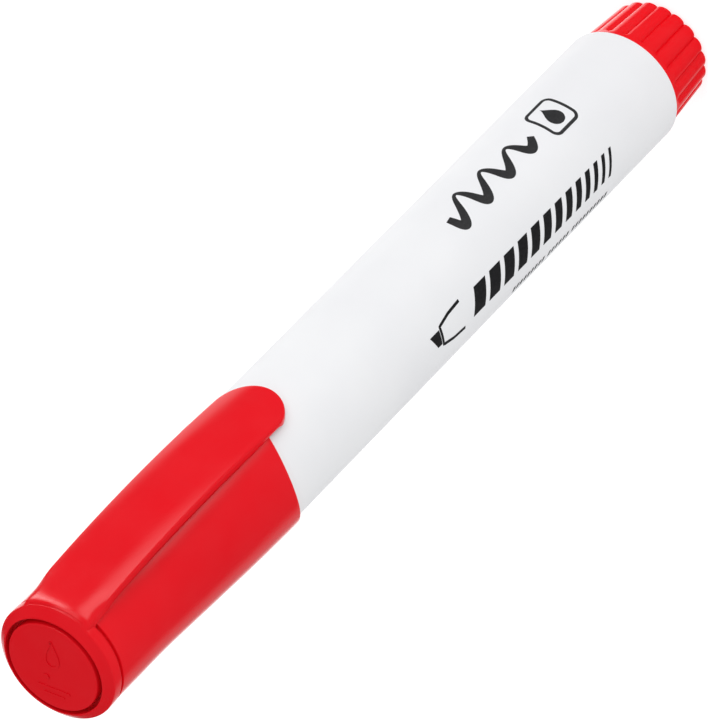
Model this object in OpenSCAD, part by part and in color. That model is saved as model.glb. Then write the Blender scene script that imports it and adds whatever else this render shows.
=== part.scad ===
// Capped whiteboard marker, standing on its tail plug.
// The origin is the centre of the plug's flat end face, +Z runs along the
// pen to the closed end of the cap, and the clip lies on the -Y side.

/* [Overall] */
// Length from the tail plug's end face to the cap's end face
total_len = 136; // [134:1:140]
// Outer radius of the barrel
barrel_r = 8.17; // [8.12:0.01:8.2]
// Bore radius of the barrel
bore_r = 7.2; // [7.1:0.05:7.25]
// Height of the barrel's rear edge above the plug's end face
barrel_rear_z = 9.3; // [9:0.1:10]

/* [Cap] */
// Length of the cap
cap_len = 40.85; // [40.6:0.05:41.1]
// Outer radius at the cap's mouth
mouth_r = 8.66; // [8.6:0.01:8.75]
// Outer radius behind the collar
cap_top_r = 7.78; // [7.76:0.01:7.82]
// Wall thickness of the cap's tube
cap_wall = 0.85; // [0.8:0.05:0.9]
// Outer radius of the collar at the closed end
collar_r = 7.86; // [7.84:0.01:7.95]
// Width of the collar band
collar_h = 2.7; // [2.6:0.05:2.9]
// Radius of the opening in the collar's face
collar_hole_r = 6.65; // [6.5:0.05:6.7]
// Radius of the end disc's raised face
disc_r = 6; // [5.8:0.05:6.1]
// Radius of the two scallops cut into the cap's mouth
scallop_r = 12.5; // [11.5:0.25:13.5]

/* [Clip] */
// Half of the clip's width
clip_half_w = 4.5; // [4.3:0.05:4.7]
// How far the clip reaches past the cap's mouth
clip_overhang = 5.4; // [5:0.05:6]
// Height of the clip's crest from the pen's axis
clip_crest = 9.98; // [9.9:0.02:10.2]
// Thickness of the clip's tongue
clip_t = 0.9; // [0.8:0.05:1]

/* [Nib] */
// Radius of the nib's shank
nib_r = 2.5; // [2.4:0.05:2.6]
// Distance from the nib's tip to the cap's end face
nib_to_end = 10; // [9.8:0.1:10.4]
// Slant of the chisel's writing edge, in degrees
chisel_slant = 30; // [20:5:35]

/* [Tail plug] */
// Radius of the plug next to the barrel
plug_base_r = 7.72; // [7.65:0.01:7.8]
// Radius of the plug at its end face, over the ribs
plug_end_r = 7.05; // [7:0.05:7.2]
// Number of grip ribs round the plug
rib_count = 20; // [18:1:22]

/* [Hidden] */
$fn = 96;

red = "crimson";
ink_red = "firebrick";

// Radial clearances
slide_fit = 0.08;    // plug stem in the barrel, cap mouth on the spigot
press_gap = 0.02;    // pieces pushed together for good
part_gap = 0.3;      // between pieces that move apart

// Cap levels
mouth_z = total_len - cap_len;
collar_z = total_len - collar_h;
lip_t = 1.6;                     // collar's inward lip
face_drop = 0.22;                // collar's front edge, below the end disc's face
groove_h = 0.3;                  // groove behind the collar
groove_r = 7.55;
rim_z = total_len - lip_t;       // top of the shell's inner rim
web_z = rim_z - 2.6;             // underside of the shell's web
web_t = 1;
rim_r = 7.1;                     // shell's rim inside the collar
seat_r = 6.3;                    // seat for the end disc
lip_bore_r = barrel_r + slide_fit;   // shell's bore over the barrel
mouth_bore_r = 7.95;             // shell's bore over the spigot
scallop_drop = 38.66;            // top of the scallops, below the end face
scallop_angle = 70;              // from the clip
socket_r = 6.43;                 // shell's socket for the liner
socket_h = 4.8;

// Tube outline of the cap, as [drop below the end face, outer radius]
cap_outline = [[collar_h + groove_h, cap_top_r], [14, cap_top_r + 0.03],
               [22, cap_top_r + 0.33], [31, mouth_r - 0.2],
               [37, mouth_r - 0.05]];
mouth_round = 0.2;

// Nib holder levels
shoulder_z = total_len - 37.8;   // barrel's front edge, inside the cap's mouth
spigot_r = mouth_bore_r - slide_fit - 0.02;
spigot_h = 4.5;
insert_h = 7;
insert_bore_r = 6;
neck_r = 5.6;
neck_z = shoulder_z + spigot_h + 3.3;
neck_h = 6.5;
nose_r = 3.6;
nose_h = 6.3;
nose_z = neck_z + neck_h + nose_h;
nib_bore_r = nib_r + 0.05;
vent_w = 0.7;

// Liner levels
liner_r = socket_r - press_gap;
liner_bore_r = neck_r + 0.06;
liner_z = neck_z + 1.5;
liner_top_t = 0.8;

// Reservoir and nib
stem_h = 10.2;
stem_wall = 1.5;
plug_gap = 0.1;                  // plug's shoulder to the barrel's edge
plug_shoulder_z = barrel_rear_z - plug_gap;
core_r = 6.75;
film_t = 0.15;
core_z = plug_shoulder_z + stem_h + 1.5;
core_top_z = shoulder_z - insert_h - 0.5;
nib_tip_z = total_len - nib_to_end;
nib_rear_z = core_top_z - 5;
nib_point_r = 0.8;               // blunt rear end, pushed into the reservoir
nib_point_h = 4;
nib_flat_h = 5;                  // length of the chisel's two flats
nib_edge_t = 1.2;                // thickness of the writing edge
bore_rib_count = 6;

// Clip: its outer face follows an arc along the pen and an arch across it
clip_tip_z = mouth_z - clip_overhang;
clip_crest_z = total_len - 26;
clip_arc_r = 205;
clip_arch_r = 10.6;
clip_root_z = total_len - 5;     // where the tongue leaves its root
clip_turn = 14;                  // degrees of the long arc that are made

// A ring from radius r0 to r1, from z0 to z1
module ring(r0, r1, z0, z1) {
    rotate_extrude()
        translate([r0, z0])
            square([r1 - r0, z1 - z0]);
}

// The cap's tube outline, pushed out by grow
function cap_curve(grow) = [for (p = cap_outline) [p[1] + grow, total_len - p[0]]];

// Space that the clip's underside keeps clear of the cap and the barrel
module clip_clearance() {
    rotate_extrude()
        polygon(concat(
            [[0, total_len - collar_h]], cap_curve(part_gap - 0.05),
            [[mouth_r + part_gap - 0.05, mouth_z + 1],
             [mouth_r + part_gap - 0.05, mouth_z - 0.6],
             [barrel_r + part_gap, mouth_z - 2], [barrel_r + part_gap, clip_tip_z - 2],
             [0, clip_tip_z - 2]]));
}

// The arched band that the clip is cut from, thick inwards from its outer face
module clip_band(thick) {
    translate([0, clip_arc_r - clip_crest, clip_crest_z])
        rotate([0, 90, 0])
            rotate([0, 0, 270 - clip_turn / 2])
                rotate_extrude(angle = clip_turn, $fn = 720)
                    intersection() {
                        translate([clip_arc_r - clip_arch_r, 0])
                            difference() {
                                circle(r = clip_arch_r, $fn = 192);
                                circle(r = clip_arch_r - thick, $fn = 192);
                            }
                        translate([clip_arc_r - 5, -5.5])
                            square([6, 11]);
                    }
}

// The clip's outline seen from outside, from z0 up to z1, cut right through
module clip_outline(z0, z1, half_w, tip) {
    rotate([90, 0, 0])
        linear_extrude(height = 12)
            union() {
                bottom = tip ? z0 + half_w : z0;
                translate([-half_w, bottom])
                    square([2 * half_w, z1 - bottom]);
                if (tip)
                    translate([0, bottom])
                        circle(r = half_w);
            }
}

module barrel() {
    color("white") {
        ring(bore_r, barrel_r, barrel_rear_z, shoulder_z);
        for (i = [0 : bore_rib_count - 1])
            rotate([0, 0, i * 360 / bore_rib_count])
                translate([core_r + film_t + 0.05, -0.4, core_z])
                    cube([bore_r - core_r - film_t + 0.1, 0.8, core_top_z - core_z]);
    }
}

module nib_holder() {
    color("white")
        difference() {
            rotate_extrude()
                polygon([[0, shoulder_z - insert_h],
                         [bore_r - press_gap, shoulder_z - insert_h],
                         [bore_r - press_gap, shoulder_z],
                         [spigot_r, shoulder_z],
                         [spigot_r, shoulder_z + 1.6],
                         [spigot_r + 0.05, shoulder_z + 1.9],
                         [spigot_r + 0.05, shoulder_z + 2.3],
                         [spigot_r, shoulder_z + 2.6],
                         [spigot_r, shoulder_z + spigot_h],
                         [neck_r, neck_z],
                         [neck_r, neck_z + neck_h],
                         [neck_r - 0.8, neck_z + neck_h + 0.6],
                         [nose_r, nose_z],
                         [0, nose_z]]);
            translate([0, 0, shoulder_z - insert_h - 1])
                cylinder(r = insert_bore_r, h = insert_h + spigot_h - 1);
            cylinder(r = nib_bore_r, h = total_len);
            for (i = [0 : 3])
                rotate([0, 0, 45 + i * 90])
                    translate([0, -vent_w / 2, shoulder_z])
                        cube([nib_bore_r + 0.4, vent_w, nose_z - shoulder_z + 1]);
        }
}

module nib() {
    // The long flats narrow the tip to the writing edge, which slants along Y
    flats = [[-nib_r - 1, nib_rear_z - 1], [nib_r + 1, nib_rear_z - 1],
             [nib_r + 1, nib_tip_z - nib_flat_h - 1], [nib_r, nib_tip_z - nib_flat_h],
             [nib_edge_t / 2, nib_tip_z], [-nib_edge_t / 2, nib_tip_z],
             [-nib_r, nib_tip_z - nib_flat_h], [-nib_r - 1, nib_tip_z - nib_flat_h - 1]];
    slant = [[-nib_r - 1, nib_rear_z - 1], [nib_r + 1, nib_rear_z - 1],
             [nib_r + 1, nib_tip_z - (2 * nib_r + 1) * tan(chisel_slant)],
             [-nib_r - 1, nib_tip_z + tan(chisel_slant)]];
    color(ink_red)
        intersection() {
            rotate_extrude()
                polygon([[0, nib_rear_z], [nib_point_r, nib_rear_z],
                         [nib_r, nib_rear_z + nib_point_h],
                         [nib_r, nib_tip_z], [0, nib_tip_z]]);
            rotate([90, 0, 0])
                linear_extrude(height = 4 * nib_r, center = true)
                    polygon(flats);
            rotate([90, 0, 90])
                linear_extrude(height = 4 * nib_r, center = true)
                    polygon(slant);
        }
}

module reservoir_core() {
    color("mistyrose")
        difference() {
            translate([0, 0, core_z])
                cylinder(r = core_r, h = core_top_z - core_z);
            rotate_extrude()
                polygon([[0, nib_rear_z - press_gap],
                         [nib_point_r + press_gap, nib_rear_z - press_gap],
                         [nib_r + press_gap, nib_rear_z + nib_point_h - press_gap],
                         [nib_r + press_gap, core_top_z + 1], [0, core_top_z + 1]]);
        }
}

module reservoir_film() {
    color("lightblue")
        ring(core_r, core_r + film_t, core_z, core_top_z);
}

module tail_plug() {
    base_ring_h = 1.2;           // smooth ring next to the barrel
    end_round = 0.5;
    groove_r = 1.1;
    groove_depth = 0.42;
    lean = atan((plug_base_r - plug_end_r) / plug_shoulder_z);
    color(red)
        difference() {
            rotate_extrude()
                polygon([[0, 0], [plug_end_r - end_round, 0], [plug_end_r, end_round],
                         [plug_base_r, plug_shoulder_z - 0.3],
                         [plug_base_r - 0.2, plug_shoulder_z],
                         [bore_r - slide_fit, plug_shoulder_z],
                         [bore_r - slide_fit, plug_shoulder_z + stem_h - 0.8],
                         [bore_r - slide_fit - 0.5, plug_shoulder_z + stem_h],
                         [bore_r - slide_fit - stem_wall, plug_shoulder_z + stem_h],
                         [bore_r - slide_fit - stem_wall, plug_shoulder_z - 1],
                         [0, plug_shoulder_z - 1]]);
            for (i = [0 : rib_count - 1])
                rotate([0, 0, (i + 0.5) * 360 / rib_count])
                    translate([plug_end_r + groove_r - groove_depth, 0, 0])
                        rotate([0, lean, 0])
                            translate([0, 0, -1])
                                cylinder(r = groove_r, h = plug_shoulder_z - base_ring_h + 1,
                                         $fn = 32);
        }
}

module cap_shell() {
    color(red)
        difference() {
            rotate_extrude()
                polygon(concat(
                    [[0, rim_z], [rim_r, rim_z], [rim_r, collar_z],
                     [groove_r, collar_z], [groove_r, collar_z - groove_h]],
                    cap_curve(0),
                    [[mouth_r, mouth_z + 2 * mouth_round],
                     [mouth_r - 0.06, mouth_z + 0.06],
                     [mouth_r - mouth_round, mouth_z], [0, mouth_z]]));
            translate([0, 0, web_z + web_t])
                cylinder(r = seat_r, h = total_len);
            rotate_extrude()
                polygon([[0, web_z], [socket_r, web_z], [socket_r, web_z - socket_h],
                         [cap_top_r - cap_wall, web_z - socket_h - 0.6],
                         [cap_top_r + 0.03 - cap_wall, total_len - 14],
                         [cap_top_r + 0.33 - cap_wall, total_len - 22],
                         [mouth_bore_r - 0.38, shoulder_z + spigot_h + 3],
                         [mouth_bore_r, shoulder_z + spigot_h],
                         [mouth_bore_r, shoulder_z + 2.9], [mouth_bore_r + 0.08, shoulder_z + 2.7],
                         [mouth_bore_r + 0.08, shoulder_z + 1.5], [mouth_bore_r, shoulder_z + 1.3],
                         [mouth_bore_r, shoulder_z + 0.2], [lip_bore_r, shoulder_z + 0.2],
                         [lip_bore_r, mouth_z - 1], [0, mouth_z - 1]]);
            for (side = [-1, 1])
                rotate([0, 0, side * scallop_angle - 90])
                    translate([0, 0, total_len - scallop_drop - scallop_r])
                        rotate([0, 90, 0])
                            cylinder(r = scallop_r, h = mouth_r + 2, $fn = 192);
        }
}

module cap_collar() {
    face_z = total_len - face_drop;
    root_half_w = clip_half_w + 0.2;
    color(red) {
        rotate_extrude()
            polygon([[rim_r + press_gap, collar_z], [collar_r, collar_z],
                     [collar_r, total_len - 1.4], [collar_r - 0.15, total_len - 1.1],
                     [collar_hole_r + 0.15, face_z], [collar_hole_r, face_z - 0.1],
                     [collar_hole_r, rim_z + press_gap], [rim_r + press_gap, rim_z + press_gap]]);
        difference() {
            intersection() {
                clip_band(2.4);
                clip_outline(clip_root_z, collar_z + 0.5, root_half_w, false);
            }
            ring(0, collar_r - 0.2, collar_z, total_len);
            ring(0, cap_top_r + press_gap, clip_root_z - 1, collar_z + 0.01);
        }
    }
}

module cap_clip() {
    color(red)
        difference() {
            intersection() {
                clip_band(clip_t);
                clip_outline(clip_tip_z, clip_root_z - part_gap, clip_half_w, true);
            }
            clip_clearance();
        }
}

module cap_liner() {
    color("gainsboro")
        difference() {
            translate([0, 0, liner_z])
                cylinder(r = liner_r, h = web_z - liner_z);
            translate([0, 0, liner_z - 1])
                cylinder(r = liner_bore_r, h = web_z - liner_top_t - liner_z + 1);
        }
}

module cap_end_disc() {
    color(red)
        rotate_extrude()
            polygon([[0, web_z + web_t + press_gap], [seat_r - press_gap, web_z + web_t + press_gap],
                     [seat_r - press_gap, rim_z], [disc_r, rim_z],
                     [disc_r, total_len - 0.45], [disc_r - 0.25, total_len - 0.2],
                     [disc_r - 2, total_len], [0, total_len]]);
}

barrel();
nib_holder();
nib();
reservoir_core();
reservoir_film();
tail_plug();
cap_shell();
cap_collar();
cap_clip();
cap_liner();
cap_end_disc();
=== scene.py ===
import math

import bpy
import bmesh
from mathutils import Matrix, Vector


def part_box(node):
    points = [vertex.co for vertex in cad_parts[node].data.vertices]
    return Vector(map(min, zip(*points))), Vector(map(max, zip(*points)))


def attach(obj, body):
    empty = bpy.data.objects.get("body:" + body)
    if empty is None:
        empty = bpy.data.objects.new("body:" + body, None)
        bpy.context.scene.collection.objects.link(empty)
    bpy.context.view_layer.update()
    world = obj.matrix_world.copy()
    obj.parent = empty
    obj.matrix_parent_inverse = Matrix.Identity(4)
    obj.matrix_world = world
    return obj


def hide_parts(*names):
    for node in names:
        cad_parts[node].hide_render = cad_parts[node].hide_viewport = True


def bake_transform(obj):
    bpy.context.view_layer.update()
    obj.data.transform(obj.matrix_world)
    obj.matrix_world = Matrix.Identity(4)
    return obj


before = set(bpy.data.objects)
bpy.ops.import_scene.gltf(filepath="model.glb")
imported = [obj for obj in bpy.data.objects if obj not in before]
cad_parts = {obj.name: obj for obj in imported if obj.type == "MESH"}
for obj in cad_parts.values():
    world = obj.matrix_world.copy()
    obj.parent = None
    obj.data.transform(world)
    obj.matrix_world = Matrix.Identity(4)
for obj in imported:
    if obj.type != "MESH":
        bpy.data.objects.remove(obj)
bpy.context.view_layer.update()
scene = bpy.context.scene

# ---------------------------------------------------------------- measures, in mm from the frame
MM = 0.001


def span(node, axis):
    """Lowest and highest place of a CAD node along one axis, in mm."""
    low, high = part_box(node)
    return low[axis] / MM, high[axis] / MM


total_len = span("cap_end_disc", 2)[1]
mouth_z = span("cap_shell", 2)[0]
mouth_r = span("cap_shell", 1)[1]
rim_z = span("cap_shell", 2)[1]
collar_r = span("cap_collar", 0)[1]
barrel_r = span("barrel", 0)[1]
barrel_rear_z, shoulder_z = span("barrel", 2)
plug_base_r = span("tail_plug", 0)[1]
stem_top_z = span("tail_plug", 2)[1]
disc_base_z = span("cap_end_disc", 2)[0]
disc_flange_r = span("cap_end_disc", 0)[1]
clip_tip_z = span("cap_clip", 2)[0]
clip_half_w = span("cap_clip", 0)[1]
clip_crest = -span("cap_clip", 1)[0]
liner_z, liner_top_z = span("cap_liner", 2)
liner_r = span("cap_liner", 0)[1]
holder_low_z, nose_z = span("nib_holder", 2)
holder_r = span("nib_holder", 0)[1]

collar_h = 2.7
collar_z = total_len - collar_h
cap_top_r = collar_r - 0.08
bore_r = 7.2
hole_r = 6.65                     # opening in the collar's face
face_z = span("cap_collar", 2)[1]  # front edge of the collar
face_slope = 1.22                 # how fast the collar widens behind that edge
scallop_r, scallop_z, scallop_deg = 12.5, total_len - 38.66, 70


# ---------------------------------------------------------------- outlines
def rounded(corners, steps=5):
    """An outline of (r, z) points from corners (r, z, fillet radius). Each fillet is an arc."""
    out = []
    count = len(corners)
    for i, (r, z, fillet) in enumerate(corners):
        here = Vector((r, z))
        if fillet == 0:
            out.append((r, z))
            continue
        to_last = (Vector(corners[i - 1][:2]) - here).normalized()
        to_next = (Vector(corners[(i + 1) % count][:2]) - here).normalized()
        half = to_last.angle(to_next) / 2
        bisector = (to_last + to_next).normalized()
        centre = here + bisector * (fillet / math.sin(half))
        start = here + to_last * (fillet / math.tan(half)) - centre
        end = here + to_next * (fillet / math.tan(half)) - centre
        sweep = start.angle_signed(end)
        for k in range(steps + 1):
            turned = start.copy()
            turned.rotate(Matrix.Rotation(-sweep * k / steps, 2))
            out.append(tuple(centre + turned))
    return out


def flowing(points, steps=8):
    """Points on a smooth curve (Catmull-Rom) through the given (r, z) points."""
    pts = [Vector(p) for p in points]
    pts = [2 * pts[0] - pts[1]] + pts + [2 * pts[-1] - pts[-2]]
    out = []
    for a, b, c, d in zip(pts, pts[1:], pts[2:], pts[3:]):
        for k in range(steps):
            t = k / steps
            p = 0.5 * (2 * b + (c - a) * t + (2 * a - 5 * b + 4 * c - d) * t ** 2
                       + (3 * b - a - 3 * c + d) * t ** 3)
            out.append(tuple(p))
    out.append(tuple(pts[-2]))
    return out


def smoothstep(x, low, high):
    """0 below low, 1 above high, and an S-curve between them."""
    t = min(max((x - low) / (high - low), 0), 1)
    return t * t * (3 - 2 * t)


# ---------------------------------------------------------------- meshes
def piece(name, verts, faces, material, slot, sharp_deg=50):
    """A closed mesh from points in mm."""
    mesh = bpy.data.meshes.new(name)
    mesh.from_pydata([Vector(v) * MM for v in verts], [], faces)
    bm = bmesh.new()
    bm.from_mesh(mesh)
    bmesh.ops.remove_doubles(bm, verts=bm.verts, dist=1e-8)
    bmesh.ops.recalc_face_normals(bm, faces=bm.faces)
    bm.to_mesh(mesh)
    bm.free()
    mesh.shade_smooth()
    mesh.set_sharp_from_angle(angle=math.radians(sharp_deg))
    mesh.materials.append(material)
    obj = bpy.data.objects.new(name, mesh)
    scene.collection.objects.link(obj)
    even = obj.modifiers.new("even_shading", "WEIGHTED_NORMAL")
    even.keep_sharp = True
    return obj


def lathe(outline, steps=192, radius=None, height=None):
    """Points and faces of a solid turned about Z. The outline is a closed loop of (r, z) points.
    radius(r, z, angle) and height(z, angle) can change it round the turn."""
    verts, faces, rings = [], [], []
    for r, z in outline:
        if r < 1e-6:
            rings.append([len(verts)])
            verts.append((0, 0, z))
            continue
        rings.append(list(range(len(verts), len(verts) + steps)))
        for k in range(steps):
            angle = 2 * math.pi * k / steps
            rr = radius(r, z, angle) if radius else r
            zz = height(z, angle) if height else z
            verts.append((rr * math.cos(angle), rr * math.sin(angle), zz))
    for low, high in zip(rings, rings[1:] + rings[:1]):
        for k in range(steps):
            n = (k + 1) % steps
            if len(low) == 1 and len(high) == 1:
                break
            if len(low) == 1:
                faces.append((low[0], high[n], high[k]))
            elif len(high) == 1:
                faces.append((low[k], low[n], high[0]))
            else:
                faces.append((low[k], low[n], high[n], high[k]))
    return verts, faces


# ---------------------------------------------------------------- materials
def principled(name):
    """A new material, its node tree and its shader."""
    mat = bpy.data.materials.new(name)
    mat.use_nodes = True
    tree = mat.node_tree
    shader = tree.nodes["Principled BSDF"]
    return mat, tree, shader


def object_noise(tree, scale, detail=2.0, stretch=(1, 1, 1)):
    """A noise texture in the object's own metres."""
    coords = tree.nodes.new("ShaderNodeTexCoord")
    mapping = tree.nodes.new("ShaderNodeMapping")
    mapping.inputs["Scale"].default_value = stretch
    noise = tree.nodes.new("ShaderNodeTexNoise")
    noise.inputs["Scale"].default_value = scale
    noise.inputs["Detail"].default_value = detail
    tree.links.new(coords.outputs["Object"], mapping.inputs["Vector"])
    tree.links.new(mapping.outputs["Vector"], noise.inputs["Vector"])
    return noise


def ramp(tree, source, low, high, colours):
    """Two colours, blended where the source's value runs from low to high."""
    node = tree.nodes.new("ShaderNodeValToRGB")
    node.color_ramp.elements[0].position = low
    node.color_ramp.elements[1].position = high
    for element, colour in zip(node.color_ramp.elements, colours):
        element.color = (*colour, 1)
    tree.links.new(source.outputs["Fac"], node.inputs["Fac"])
    return node


def bump(tree, shader, source, strength, distance_mm):
    """A fine relief in the shader's normal."""
    node = tree.nodes.new("ShaderNodeBump")
    node.inputs["Strength"].default_value = strength
    node.inputs["Distance"].default_value = distance_mm * MM
    tree.links.new(source.outputs["Fac"], node.inputs["Height"])
    tree.links.new(node.outputs["Normal"], shader.inputs["Normal"])


def moulded(name, dark, light, rough_low, rough_high, grain=0.12, shine=0.18):
    """Injection-moulded plastic: a cloudy colour, an uneven satin gloss and a fine grain."""
    mat, tree, shader = principled(name)
    cloud = object_noise(tree, 60, 3)
    tint = ramp(tree, cloud, 0.35, 0.65, (dark, light))
    tree.links.new(tint.outputs["Color"], shader.inputs["Base Color"])
    gloss = object_noise(tree, 260, 4)
    rough = ramp(tree, gloss, 0.3, 0.7, ((rough_low,) * 3, (rough_high,) * 3))
    tree.links.new(rough.outputs["Color"], shader.inputs["Roughness"])
    bump(tree, shader, object_noise(tree, 6000, 2), grain, 0.01)
    shader.inputs["IOR"].default_value = 1.49
    shader.inputs["Specular IOR Level"].default_value = shine
    return mat


def fibre(name, dark, light, grain=0.8):
    """Pressed fibre: fine strands along the pen, uneven ink."""
    mat, tree, shader = principled(name)
    strands = object_noise(tree, 9000, 6, stretch=(1, 1, 0.04))
    tint = ramp(tree, strands, 0.3, 0.7, (dark, light))
    tree.links.new(tint.outputs["Color"], shader.inputs["Base Color"])
    bump(tree, shader, strands, grain, 0.06)
    shader.inputs["Roughness"].default_value = 0.75
    shader.inputs["Sheen Weight"].default_value = 0.2
    return mat


def film(name):
    """Thin clear wrap over the reservoir."""
    mat, tree, shader = principled(name)
    wrinkles = object_noise(tree, 900, 3, stretch=(1, 1, 0.2))
    tint = ramp(tree, wrinkles, 0.4, 0.6, ((0.80, 0.84, 0.88), (0.92, 0.94, 0.96)))
    tree.links.new(tint.outputs["Color"], shader.inputs["Base Color"])
    bump(tree, shader, wrinkles, 0.4, 0.05)
    shader.inputs["Roughness"].default_value = 0.15
    shader.inputs["Alpha"].default_value = 0.35
    return mat


def printed(name):
    """Screen-printed black ink, a little uneven."""
    mat, tree, shader = principled(name)
    grain = object_noise(tree, 3000, 3)
    tint = ramp(tree, grain, 0.35, 0.65, ((0.009, 0.009, 0.010), (0.017, 0.017, 0.019)))
    tree.links.new(tint.outputs["Color"], shader.inputs["Base Color"])
    bump(tree, shader, grain, 0.2, 0.01)
    shader.inputs["Roughness"].default_value = 0.5
    return mat


cap_red = moulded("cap_red_plastic", (0.765, 0.0035, 0.0105), (0.795, 0.0050, 0.0125),
                  0.17, 0.22, shine=0.4)
plug_red = moulded("plug_red_plastic", (0.86, 0.0015, 0.0075), (0.89, 0.0025, 0.0090),
                   0.17, 0.23, shine=0.6)
barrel_white = moulded("barrel_white_plastic", (0.80, 0.805, 0.825), (0.83, 0.835, 0.85),
                       0.36, 0.46)
holder_white = moulded("holder_white_plastic", (0.82, 0.82, 0.82), (0.86, 0.86, 0.86),
                       0.35, 0.45)
liner_white = moulded("liner_natural_plastic", (0.74, 0.74, 0.71), (0.80, 0.80, 0.77),
                      0.40, 0.55)
nib_fibre = fibre("inked_nib_fibre", (0.20, 0.003, 0.006), (0.42, 0.010, 0.016))
reservoir_fibre = fibre("inked_reservoir_fibre", (0.34, 0.012, 0.02), (0.66, 0.07, 0.08))
wrap_film = film("reservoir_wrap_film")
print_black = printed("print_black_ink")


# ---------------------------------------------------------------- barrel and its inner pieces
def make_barrel():
    outline = rounded([
        (bore_r, barrel_rear_z, 0.15), (barrel_r, barrel_rear_z, 0.22),
        (barrel_r, shoulder_z, 0.15), (bore_r, shoulder_z, 0.08)])
    obj = piece("barrel_tube", *lathe(outline), barrel_white, "barrel_white")
    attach(obj, "barrel")
    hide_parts("barrel")


def make_nib_holder():
    insert_r, inside_r = bore_r - 0.02, 6.0
    nose_r, nib_hole_r = 3.6, 2.56
    spigot_z = shoulder_z + 4.5
    neck_r, neck_z, neck_top_z = 5.6, shoulder_z + 7.8, shoulder_z + 14.3
    bead = 0.05
    outline = rounded([
        (inside_r, holder_low_z, 0.1), (insert_r, holder_low_z, 0.25), (insert_r, shoulder_z, 0.03),
        (holder_r - bead, shoulder_z, 0.03), (holder_r - bead, shoulder_z + 1.6, 0.2),
        (holder_r, shoulder_z + 1.9, 0.1), (holder_r, shoulder_z + 2.3, 0.1),
        (holder_r - bead, shoulder_z + 2.6, 0.2), (holder_r - bead, spigot_z, 0.35),
        (neck_r, neck_z, 0.6), (neck_r, neck_top_z, 0.4), (neck_r - 0.8, neck_top_z + 0.6, 0.4),
        (nose_r, nose_z, 0.35), (nib_hole_r, nose_z, 0.12), (nib_hole_r, spigot_z - 1, 0.1),
        (inside_r, spigot_z - 1, 0.2)])
    obj = piece("nib_holder_section", *lathe(outline, 144), holder_white, "holder_white")
    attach(obj, "barrel")
    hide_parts("nib_holder")


def soften(node, width_mm, segments=3):
    """Round the edges of a carried-over CAD node with modifiers."""
    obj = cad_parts[node]
    bevel = obj.modifiers.new("soft_edges", "BEVEL")
    bevel.width = width_mm * MM
    bevel.segments = segments
    bevel.limit_method = "ANGLE"
    bevel.angle_limit = math.radians(25)
    even = obj.modifiers.new("even_shading", "WEIGHTED_NORMAL")
    even.keep_sharp = True


def dress(node, material):
    """Give a carried-over CAD node its material."""
    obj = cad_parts[node]
    obj.data.materials.clear()
    obj.data.materials.append(material)


# ---------------------------------------------------------------- tail plug
RIBS = 20


def make_tail_plug():
    shoulder = barrel_rear_z - 0.1
    end_r = 7.05
    stem_r = bore_r - 0.08
    stem_bore_r = stem_r - 1.5
    flute_depth = 0.42
    rib_round = 0.92                  # 1 would make each rib half a circle in section
    to_full_depth = 1.4               # 1 / (1 - sqrt(1 - rib_round))
    flute_top, run_out_len = shoulder - 0.7, 0.8

    def ribbed(r, z, angle):
        across = abs((angle * RIBS / (2 * math.pi)) % 1 - 0.5) * 2
        notch = 1 - math.sqrt(1 - rib_round * across ** 2)
        run_out = 1 - smoothstep(z, flute_top - run_out_len, flute_top)
        inwards = smoothstep(r, end_r - 1.3, end_r - 0.1)
        cut = flute_depth * to_full_depth * notch * run_out * inwards
        return r - cut if z < shoulder - 0.2 else r

    side = [(end_r + (plug_base_r - end_r) * t, 0.6 + (shoulder - 0.9) * t)
            for t in [k / 40 for k in range(41)]]
    end_arc = rounded([(0, 0, 0), (end_r - 0.02, 0, 0.55), side[1] + (0,)], 6)[1:-1]
    face = [(0, 0)] + [(end_r * t, 0) for t in (0.3, 0.6, 0.75, 0.82, 0.88)]
    top = rounded([
        side[-2] + (0,), (plug_base_r, shoulder, 0.2), (stem_r, shoulder, 0.05),
        (stem_r, stem_top_z, 0.5), (stem_bore_r, stem_top_z, 0.2),
        (stem_bore_r, shoulder - 1, 0.3), (0, shoulder - 1, 0)])[1:]
    outline = face + end_arc + side[1:-1] + top
    obj = piece("tail_plug_ribbed", *lathe(outline, RIBS * 16, ribbed), plug_red, "plug_red", 60)
    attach(obj, "plug")
    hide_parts("tail_plug")


# ---------------------------------------------------------------- cap
def shell_curve():
    """The cap's outer outline from the mouth up to the collar, smooth."""
    keys = [(mouth_r - 0.01, mouth_z + 0.9), (mouth_r - 0.05, total_len - 37),
            (mouth_r - 0.2, total_len - 31), (cap_top_r + 0.33, total_len - 22),
            (cap_top_r + 0.03, total_len - 14), (cap_top_r, total_len - 8),
            (cap_top_r, collar_z - 0.6)]
    return flowing(keys)


def mouth_height(z, angle):
    """Lift the cap's lip where the two scallops cut into its mouth."""
    lift = 0
    for clip_side in (-1, 1):
        off = angle - math.radians(clip_side * scallop_deg - 90)
        if math.cos(off) > 0:
            across = mouth_r * math.sin(off)
            edge = scallop_z - scallop_r + math.sqrt(scallop_r ** 2 - across ** 2)
            lift = max(lift, edge - mouth_z)
    fixed_z = shoulder_z + 0.1
    full_z = mouth_z + 0.4
    share = (fixed_z - z) / (fixed_z - full_z)
    return z + lift * min(max(share, 0), 1)


def shell_radius(z):
    """Outer radius of the cap's tube."""
    curve = shell_curve()
    for (r0, z0), (r1, z1) in zip(curve, curve[1:]):
        if z0 <= z <= z1:
            return r0 + (r1 - r0) * (z - z0) / (z1 - z0)
    return curve[-1][0] if z > curve[-1][1] else curve[0][0]


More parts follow.
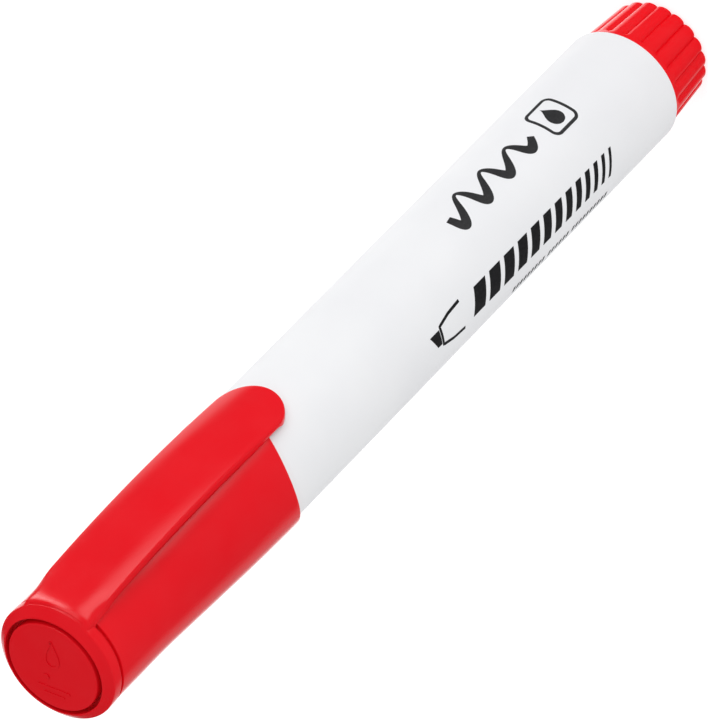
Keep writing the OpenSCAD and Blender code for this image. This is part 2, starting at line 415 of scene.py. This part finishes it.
def make_cap_shell():
    web_z = liner_top_z
    rim_r, seat_r, socket_r = 7.1, disc_flange_r + 0.02, liner_r + 0.02
    mouth_bore_r = 7.95
    snap_r = mouth_bore_r + 0.08      # the groove for the holder's bead
    lip_bore_r = barrel_r + 0.08
    groove_r, groove_z = 7.35, collar_z - 0.5
    step_z = shoulder_z + 0.2
    lip = rounded([
        (lip_bore_r, mouth_z + 1.5, 0), (lip_bore_r, mouth_z, 0.1),
        (mouth_r - 0.01, mouth_z, 0.22), (mouth_r - 0.01, mouth_z + 0.9, 0)], 6)[1:-1]
    top = rounded([
        (cap_top_r, groove_z - 0.5, 0), (cap_top_r, groove_z, 0.1), (groove_r, groove_z, 0.03),
        (groove_r, collar_z, 0.03), (rim_r, collar_z, 0.03),
        (rim_r, rim_z, 0.08), (seat_r, rim_z, 0.05), (seat_r, web_z + 1, 0.05),
        (0, web_z + 1, 0)])[1:]
    inside = rounded([
        (0, web_z, 0), (socket_r, web_z, 0.1), (socket_r, web_z - 4.8, 0.15),
        (cap_top_r - 0.85, web_z - 5.4, 0.2), (cap_top_r - 0.82, total_len - 14, 0),
        (cap_top_r - 0.52, total_len - 22, 0), (mouth_bore_r - 0.38, shoulder_z + 7.5, 0.5),
        (mouth_bore_r, shoulder_z + 4.5, 0.3), (mouth_bore_r, shoulder_z + 2.9, 0.03),
        (snap_r, shoulder_z + 2.7, 0.03), (snap_r, shoulder_z + 1.5, 0.03),
        (mouth_bore_r, shoulder_z + 1.3, 0.03), (mouth_bore_r, step_z, 0.05),
        (lip_bore_r, step_z, 0.03), (lip_bore_r, mouth_z + 1.5, 0)])
    lip_run = step_z - 0.4 - mouth_z
    inside[-1:] = [(lip_bore_r, mouth_z + 0.4 + k * lip_run / 6) for k in (5, 4, 3, 2, 1, 0)]
    outline = lip + shell_curve() + top + inside
    obj = piece("cap_shell_tube", *lathe(outline, 288, height=mouth_height), cap_red, "cap_red")
    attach(obj, "cap")
    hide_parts("cap_shell")


def make_cap_collar():
    rim_r = 7.12
    root_half_deg = 26, 40            # the root's half width, and where its influence ends
    corner_z = face_z - (collar_r - hole_r) / face_slope
    cone = [(collar_r + (hole_r - collar_r) * t, corner_z + (face_z - corner_z) * t, 0)
            for t in (0.3, 0.5, 0.7)]

    def follow_root(r, z, angle):
        """In front of the clip the collar's corner keeps to the root's softer curve."""
        off = abs((math.degrees(angle) + 270) % 360 - 180)
        share = 1 - smoothstep(off, *root_half_deg)
        on_face = z > corner_z - 0.5 and r > hole_r + 0.15
        return r + share * (root_radius(z) - r) if on_face else r

    outline = rounded([
        (rim_r, collar_z, 0.05), (collar_r, collar_z, 0.1), (collar_r, corner_z, 0.4), *cone,
        (hole_r, face_z, 0.1), (hole_r, rim_z + 0.02, 0.05), (rim_r, rim_z + 0.02, 0.05)], 8)
    obj = piece("cap_collar_ring", *lathe(outline, 192, follow_root), cap_red, "cap_red")
    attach(obj, "cap")
    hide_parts("cap_collar")


DISC_R = 6.1


def disc_top(r):
    """Height of the end disc's gently domed face."""
    return total_len - 0.15 - 0.07 * (r / DISC_R) ** 3


def make_end_disc():
    flat_r = 5.5
    outline = rounded([
        (0, disc_base_z, 0), (disc_flange_r, disc_base_z, 0.05), (disc_flange_r, rim_z, 0.05),
        (DISC_R, rim_z, 0.05), (DISC_R, disc_top(DISC_R), 0.15), (flat_r, disc_top(flat_r), 0)], 6)
    outline += [(flat_r * k / 12, disc_top(flat_r * k / 12)) for k in range(11, -1, -1)]
    obj = piece("cap_end_button", *lathe(outline), cap_red, "cap_red")
    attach(obj, "cap")
    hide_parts("cap_end_disc")


def make_liner():
    bore = 5.66
    outline = rounded([
        (bore, liner_z, 0.25), (liner_r, liner_z, 0.2), (liner_r, liner_top_z, 0.15),
        (0, liner_top_z, 0), (0, liner_top_z - 0.8, 0), (bore, liner_top_z - 0.8, 0.5)])
    obj = piece("cap_inner_liner", *lathe(outline, 144), liner_white, "liner_white")
    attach(obj, "cap")
    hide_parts("cap_liner")


# ---------------------------------------------------------------- clip
CLIP_CREST_Z = total_len - 26
CLIP_ARC_R, CLIP_ARCH_R = 205, 10.8   # the outer face's curve along the pen, and across it
CLIP_T = 0.9
CLIP_SKIN = 0.18                  # how far the tongue stays inside its CAD solid
CLIP_END_Z = total_len - 1.0      # inside the collar
CLIP_SLIT_Z = total_len - 7       # the middle of the slit starts below this
CAP_GAP, BARREL_GAP = 0.25, 0.3   # how far the tongue's inner face stays off the two tubes
CLIP_TOP_EDGE_R, CLIP_BOTTOM_EDGE_R = 0.22, 0.12   # the fillets along the tongue's edges
ROOT_FLARE = 0.2                  # how much wider the root's underside is, on each side
ROOT_SWELL, ROOT_RUN = 1.15, 1.4  # how far the root rises off the collar, and how slowly
ROOT_RISE = 0.09                  # how steeply it then runs up to the tongue
ROOT_SUNK_R = 7.15                # the root's underside, inside the collar


def soft_min(a, b, width):
    """The lower of two heights, with the corner where they cross rounded off."""
    near = max(width - abs(a - b), 0)
    return min(a, b) - near ** 2 / (4 * width)


def root_radius(z):
    """Radius of the clip's root, which runs on from the collar's face."""
    depth = face_z - z
    run = depth - (collar_r - hole_r) / face_slope
    swell = collar_r + ROOT_SWELL * (1 - math.exp(-run / ROOT_RUN)) + ROOT_RISE * run
    return soft_min(hole_r + face_slope * depth, swell, 0.4)


def clip_top(x, z):
    """Height of the clip's outer face from the pen's axis."""
    drop = CLIP_ARC_R - math.sqrt(CLIP_ARC_R ** 2 - (z - CLIP_CREST_Z) ** 2)
    arch = CLIP_ARCH_R - math.sqrt(CLIP_ARCH_R ** 2 - x ** 2)
    worn = 0.6 * smoothstep(z, total_len - 7.5, total_len - 3.5) * (abs(x) / clip_half_w) ** 10
    sunk = 0.03 * smoothstep(z, total_len - 1.6, total_len - 1.2)
    root = math.sqrt(root_radius(z) ** 2 - x ** 2) - sunk
    return soft_min(clip_crest - CLIP_SKIN - drop - arch - worn, root, 0.6)


def clip_bottom(x, z):
    """Height of the clip's inner face. It sinks into the cap at the root, but at its edges the
    slit runs on up to the collar."""
    over_cap = shell_radius(max(z, mouth_z)) + CAP_GAP
    over_barrel = barrel_r + BARREL_GAP
    clear_r = over_barrel + (over_cap - over_barrel) * smoothstep(z, mouth_z - 2.2, mouth_z - 0.6)
    free = max(clip_top(x, z) - CLIP_T, math.sqrt(clear_r ** 2 - x ** 2))
    sunk = math.sqrt(ROOT_SUNK_R ** 2 - x ** 2)
    root_z = CLIP_SLIT_Z + 2
    near_edge = smoothstep(abs(x), clip_half_w - 1.1, clip_half_w - 0.5)
    root_z += (collar_z + 0.3 - root_z) * near_edge
    return free + (sunk - free) * smoothstep(z, root_z - 3.5 + 3 * near_edge, root_z)


def make_clip():
    tip_centre_z = clip_tip_z + clip_half_w
    straight, turn = 90, 40
    fillet_steps, inner_steps = 6, 14

    def ring(flare, inset, share):
        """Plan points (x, z) of the outline, widened by flare at the root, then moved in by
        inset and by a share of what is left."""
        sides = []
        for k in range(straight):
            z = CLIP_END_Z + (tip_centre_z - CLIP_END_Z) * k / straight
            half_w = clip_half_w + flare * smoothstep(z, total_len - 7.5, total_len - 2.5)
            sides.append(((half_w - inset) * (1 - share), z))
        r = (clip_half_w - inset) * (1 - share)
        tip = [(-r * math.cos(math.pi * k / turn), tip_centre_z - r * math.sin(math.pi * k / turn))
               for k in range(turn + 1)]
        return [(-x, z) for x, z in sides] + tip + sides[::-1]

    def sheet(height, flare, edge_r, sign):
        """Rows of points from the edge to the middle line, on the face given by height."""
        rows = []
        for k in range(fillet_steps + 1):
            lean = math.pi / 2 * k / fillet_steps
            rows.append((edge_r * (1 - math.cos(lean)), 0, edge_r * (1 - math.sin(lean))))
        rows += [(edge_r, k / inner_steps, 0) for k in range(1, inner_steps + 1)]
        return [[(x, -(height(x, z) - sign * drop), z) for x, z in ring(flare, inset, share)]
                for inset, share, drop in rows]

    outer = sheet(clip_top, 0, CLIP_TOP_EDGE_R, 1)
    inner = sheet(clip_bottom, ROOT_FLARE, CLIP_BOTTOM_EDGE_R, -1)
    rows = outer[::-1] + inner
    verts = [p for row in rows for p in row]
    width = len(rows[0])
    faces = []
    for j in range(len(rows) - 1):
        for k in range(width - 1):
            a = j * width + k
            faces.append((a, a + 1, a + 1 + width, a + width))
    left = [j * width for j in range(len(rows))]
    right = [v + width - 1 for v in left]
    faces.append(tuple(left + right[::-1]))
    obj = piece("cap_clip_tongue", verts, faces, cap_red, "cap_red", 60)
    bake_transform(obj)
    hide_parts("cap_clip")


# ---------------------------------------------------------------- print on the barrel
INK_PROUD, INK_SUNK = 0.012, 0.02


def on_barrel(along, turn_deg, arc, lift):
    """A point on the barrel: along is measured from the cap's end face, turn_deg from the clip."""
    angle = math.radians(-90 - turn_deg) - arc / barrel_r
    r = barrel_r + lift
    return (r * math.cos(angle), r * math.sin(angle), total_len - along)


def on_disc(x, y, lift):
    """A point on the cap's end disc."""
    return (x, y, disc_top(math.hypot(x, y)) + lift)


def shells(patches, place, proud, under_by):
    """Closed thin shells from grids of points, on the surface that place(a, b, lift) gives."""
    verts, faces = [], []
    for rows, closed in patches:
        base = len(verts)
        tall, wide = len(rows), len(rows[0])
        for lift in (proud, -under_by):
            for row in rows:
                verts += [place(a, b, lift) for a, b in row]
        under = tall * wide

        def at(j, k):
            return base + (j % tall) * wide + k

        for j in range(tall if closed else tall - 1):
            for k in range(wide - 1):
                quad = (at(j, k), at(j, k + 1), at(j + 1, k + 1), at(j + 1, k))
                faces.append(quad)
                faces.append(tuple(v + under for v in reversed(quad)))
            for k in (0, wide - 1):
                faces.append((at(j, k), at(j + 1, k), at(j + 1, k) + under, at(j, k) + under))
        if not closed:
            for j in (0, tall - 1):
                for k in range(wide - 1):
                    faces.append((at(j, k), at(j, k + 1), at(j, k + 1) + under, at(j, k) + under))
    return verts, faces


def ribbon(path, width, closed=False, across=4):
    """A grid along a path of (along, arc) points. width(t) is its width at share t of the path."""
    rows = []
    count = len(path)
    for i, point in enumerate(path):
        before = path[i - 1] if closed or i else point
        after = path[(i + 1) % count] if closed or i < count - 1 else point
        way = (Vector(after) - Vector(before)).normalized()
        side = Vector((-way.y, way.x)) * width(i / (count - 1)) / 2
        rows.append([tuple(Vector(point) + side * (2 * k / across - 1))
                     for k in range(across + 1)])
    return rows, closed


def quad_patch(corners, steps=6):
    """A grid that fills a four-sided shape, corners in order round it."""
    a, b, c, d = [Vector(p) for p in corners]
    rows = []
    for j in range(steps + 1):
        left, right = a.lerp(d, j / steps), b.lerp(c, j / steps)
        rows.append([tuple(left.lerp(right, k / steps)) for k in range(steps + 1)])
    return rows, False


def finer(path, closed=False):
    """The same path with its long straight runs cut up, so that it follows the barrel."""
    out = []
    for (s0, a0), (s1, a1) in zip(path, path[1:] + path[:1] if closed else path[1:]):
        count = max(1, round(math.dist((s0, a0), (s1, a1)) / 0.3))
        out += [(s0 + (s1 - s0) * k / count, a0 + (a1 - a0) * k / count) for k in range(count)]
    return out if closed else out + path[-1:]


def add_print(name, patches, turn_deg):
    def place(along, arc, lift):
        return on_barrel(along, turn_deg, arc, lift)

    obj = piece(name, *shells(patches, place, INK_PROUD, INK_SUNK), print_black, "print_black", 30)
    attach(obj, "barrel")


def make_relief():
    """A plain low relief on the end disc, a drop and two bars, and the moulding gate's mark."""
    line = 0.3
    drop_y, drop_half_w, drop_half_h = -2.0, 1.3, 1.9
    relief_h, gate_h, sunk = 0.09, 0.13, 0.1
    drop = []
    for k in range(48):
        turn = 2 * math.pi * k / 48
        pinch = math.sin(turn / 2) ** 1.5
        drop.append((-drop_half_w * math.sin(turn) * pinch, drop_y - drop_half_h * math.cos(turn)))
    patches = [ribbon(drop, lambda t: line, closed=True)]
    for half, y in ((2.2, 3.2), (1.4, 4.1)):
        patches.append(ribbon(finer([(-half, y), (half, y)]), lambda t: line))
    obj = piece("cap_end_relief", *shells(patches, on_disc, relief_h, sunk),
                cap_red, "cap_red", 30)
    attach(obj, "cap")

    gate_x, gate_y, gate_r = 1.02, 1.67, 0.34
    turns = [math.radians(a) for a in range(100, 331, 10)]
    arc = [(gate_x + gate_r * math.cos(a), gate_y + gate_r * math.sin(a)) for a in turns]
    crescent = ribbon(arc, lambda t: 0.05 + 0.25 * math.sin(math.pi * t))
    obj = piece("cap_end_gate_mark", *shells([crescent], on_disc, gate_h, sunk),
                cap_red, "cap_red", 30)
    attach(obj, "cap")


def make_print():
    upper_turn, lower_turn, fine_turn = 8, 77.5, 109

    # a felt-tip squiggle that fades along its length
    def swell(t):
        return 0.45 + 0.95 * abs(math.sin(math.pi * 3.5 * t + 0.9)) ** 1.5

    wave = []
    wave_start, wave_len, half_waves, slant = 84.6, 19.0, 7, 0.25
    for k in range(241):
        t = k / 240
        size = (2.1 - 0.9 * t) * math.sin(half_waves * math.pi * t)
        wave.append((wave_start + wave_len * t - slant * size, size))
    add_print("print_squiggle", [ribbon(wave, swell, across=6)], upper_turn)

    # a square badge with round corners and a drop of ink in it
    centre, side, corner = 108.6, 2.5, 0.9
    badge = []
    for quarter in range(4):
        for k in range(9):
            angle = math.pi / 2 * (quarter + k / 8)
            out = side - corner
            along, up = (1 if quarter in (0, 3) else -1), (1 if quarter in (0, 1) else -1)
            badge.append((centre + out * along + corner * math.cos(angle),
                          out * up + corner * math.sin(angle)))
    drop_path = [(centre, -1.75 + 3.5 * k / 40) for k in range(41)]

    def drop_width(t):
        body = math.sqrt(max(0.0, 1 - ((t - 0.66) / 0.34) ** 2))
        return 2.5 * (body if t > 0.66 else math.sin(math.pi / 2 * t / 0.66) ** 1.6) + 0.01

    add_print("print_badge", [ribbon(finer(badge, True), lambda t: 0.45, closed=True),
                              ribbon(drop_path, drop_width, across=8)], upper_turn)

    # leaning bars that get thinner, like a line-width scale
    bars = []
    half_h, lean = 1.75, 0.65
    place, thick, scale_end = 79.3, 2.6, 111.4
    while place + thick < scale_end:
        bars.append(quad_patch([
            (place + lean, -half_h), (place + thick + lean, -half_h),
            (place + thick - lean, half_h), (place - lean, half_h)]))
        place += thick + 0.95
        thick = max(0.45, thick - 0.17)
    add_print("print_bars", bars, lower_turn)

    # a line of fine ticks
    ticks = []
    for group, count in ((88.2, 9), (96.4, 6), (102.0, 10)):
        for k in range(count):
            left = group + 0.85 * k
            ticks.append(quad_patch([(left + 0.1, -0.45), (left + 0.55, -0.45),
                                     (left + 0.4, 0.45), (left - 0.05, 0.45)], 3))
    add_print("print_ticks", ticks, fine_turn)

    # a plain sign for a chisel nib: the holder's outline and a solid, slanted tip
    line = 0.42
    shoulder, back, end = 71.9, 74.1, 76.7
    upper = [(end, -1.95), (back, -1.75), (shoulder, -1.25)]
    lower = [(shoulder, 1.25), (back, 1.75), (end, 1.95)]
    tip = quad_patch([(69.6, -1.0), (shoulder - 0.3, -1.0), (shoulder - 0.3, 1.0), (70.7, 1.0)])
    add_print("print_nib_sign", [ribbon(finer(upper + lower), lambda t: line), tip], lower_turn)


# ---------------------------------------------------------------- build
make_barrel()
make_nib_holder()
make_tail_plug()
make_cap_shell()
make_cap_collar()
make_end_disc()
make_liner()
make_clip()
make_print()
make_relief()
dress("nib", nib_fibre)
soften("nib", 0.18)
dress("reservoir_core", reservoir_fibre)
dress("reservoir_film", wrap_film)


# ---------------------------------------------------------------- stage, light, camera
def make_floor():
    mat, tree, shader = principled("pale_floor")
    tint = ramp(tree, object_noise(tree, 3, 2), 0.3, 0.7, ((0.54,) * 3, (0.56,) * 3))
    tree.links.new(tint.outputs["Color"], shader.inputs["Base Color"])
    shader.inputs["Roughness"].default_value = 0.9
    shader.inputs["Specular IOR Level"].default_value = 0.1
    shader.inputs["Emission Color"].default_value = (1, 1, 1, 1)
    shader.inputs["Emission Strength"].default_value = FLOOR_GLOW
    bpy.ops.mesh.primitive_circle_add(vertices=128, radius=6, fill_type="NGON")
    floor = bpy.context.object
    floor.name = "floor"
    floor.visible_glossy = False
    floor.data.materials.append(mat)


def direction(az_deg, el_deg):
    """Unit vector from the pen. Azimuth 0 is -Y, the clip's side, and elevation 0 is level."""
    a, e = math.radians(az_deg), math.radians(el_deg)
    return Vector((math.sin(a) * math.cos(e), -math.cos(a) * math.cos(e), math.sin(e)))


# Soft boxes that only gloss sees: azimuth, elevation, bright radius and outer radius in degrees,
# and strength. The row of small ones makes the band on the clip's shoulder.
SHOULDER_BOXES = tuple((20 + 12 * k, -4 - 3 * k, 2, 12, 5.2) for k in range(5))
GLOSS_BOXES = ((-18, -19, 10, 24, 3.4), (86, -47, 8, 17, 1.2), (176, -40, 14, 32, 0.42),
               (132, -42, 14, 34, 1.5)) + SHOULDER_BOXES
GLOSS_BASE = 0.06
EVEN_LIGHT, FLOOR_GLOW = 0.80, 0.70


def make_world():
    """Even white light all round, and a dimmer studio with soft boxes for the reflections."""
    world = bpy.data.worlds.new("studio")
    world.use_nodes = True
    world.cycles.sampling_method = "NONE"
    tree = world.node_tree
    even = tree.nodes["Background"]
    even.inputs["Color"].default_value = (1, 1, 1, 1)
    even.inputs["Strength"].default_value = EVEN_LIGHT
    coords = tree.nodes.new("ShaderNodeTexCoord")
    total = None
    for az, el, inner, outer, strength in GLOSS_BOXES:
        dot = tree.nodes.new("ShaderNodeVectorMath")
        dot.operation = "DOT_PRODUCT"
        dot.inputs[1].default_value = direction(az, el)
        glow = tree.nodes.new("ShaderNodeMapRange")
        glow.interpolation_type = "SMOOTHSTEP"
        glow.inputs["From Min"].default_value = math.cos(math.radians(outer))
        glow.inputs["From Max"].default_value = math.cos(math.radians(inner))
        glow.inputs["To Max"].default_value = strength
        add = tree.nodes.new("ShaderNodeMath")
        add.inputs[0].default_value = GLOSS_BASE
        tree.links.new(coords.outputs["Generated"], dot.inputs[0])
        tree.links.new(dot.outputs["Value"], glow.inputs["Value"])
        tree.links.new(glow.outputs["Result"], add.inputs[1])
        if total:
            tree.links.new(total.outputs["Value"], add.inputs[0])
        total = add
    boxes = tree.nodes.new("ShaderNodeBackground")
    ray = tree.nodes.new("ShaderNodeLightPath")
    mix = tree.nodes.new("ShaderNodeMixShader")
    tree.links.new(total.outputs["Value"], boxes.inputs["Strength"])
    tree.links.new(ray.outputs["Is Glossy Ray"], mix.inputs["Fac"])
    tree.links.new(even.outputs["Background"], mix.inputs[1])
    tree.links.new(boxes.outputs["Background"], mix.inputs[2])
    tree.links.new(mix.outputs["Shader"], tree.nodes["World Output"].inputs["Surface"])
    scene.world = world


TARGET = Vector((0, 0, 71.4 * MM))


def make_panel(name, azimuth, elevation, distance, size, power):
    """A soft square light, facing the pen's middle."""
    away = direction(azimuth, elevation)
    light = bpy.data.lights.new(name, "AREA")
    light.shape = "RECTANGLE"
    light.size, light.size_y = size
    light.energy = power
    obj = bpy.data.objects.new(name, light)
    obj.location = TARGET + away * distance
    obj.rotation_mode = "QUATERNION"
    obj.rotation_quaternion = (-away).to_track_quat("-Z", "Y")
    obj.visible_camera = False
    scene.collection.objects.link(obj)


def make_camera():
    """A long lens that looks down on the cap's end and the clip, rolled to put them bottom left."""
    azimuth, elevation, distance = -35.0, 40.1, 0.9608
    back = direction(azimuth, elevation)
    roll = math.radians(135.6)
    level_up = (Vector((0, 0, 1)) - back * back.z).normalized()
    level_right = level_up.cross(back)
    up = level_up * math.cos(roll) + level_right * math.sin(roll)
    right = up.cross(back)
    camera = bpy.data.cameras.new("camera")
    camera.lens = 402
    camera.sensor_width = 36
    camera.dof.use_dof = False
    camera.clip_start, camera.clip_end = 0.05, 50
    obj = bpy.data.objects.new("camera", camera)
    turn = Matrix((right, up, back)).transposed().to_4x4()
    obj.matrix_world = Matrix.Translation(TARGET + back * distance) @ turn
    scene.collection.objects.link(obj)
    scene.camera = obj


make_floor()
make_world()
make_panel("key_light", azimuth=10, elevation=22, distance=0.9, size=(0.6, 0.6), power=1.3)
make_camera()
scene.view_settings.view_transform = "Standard"
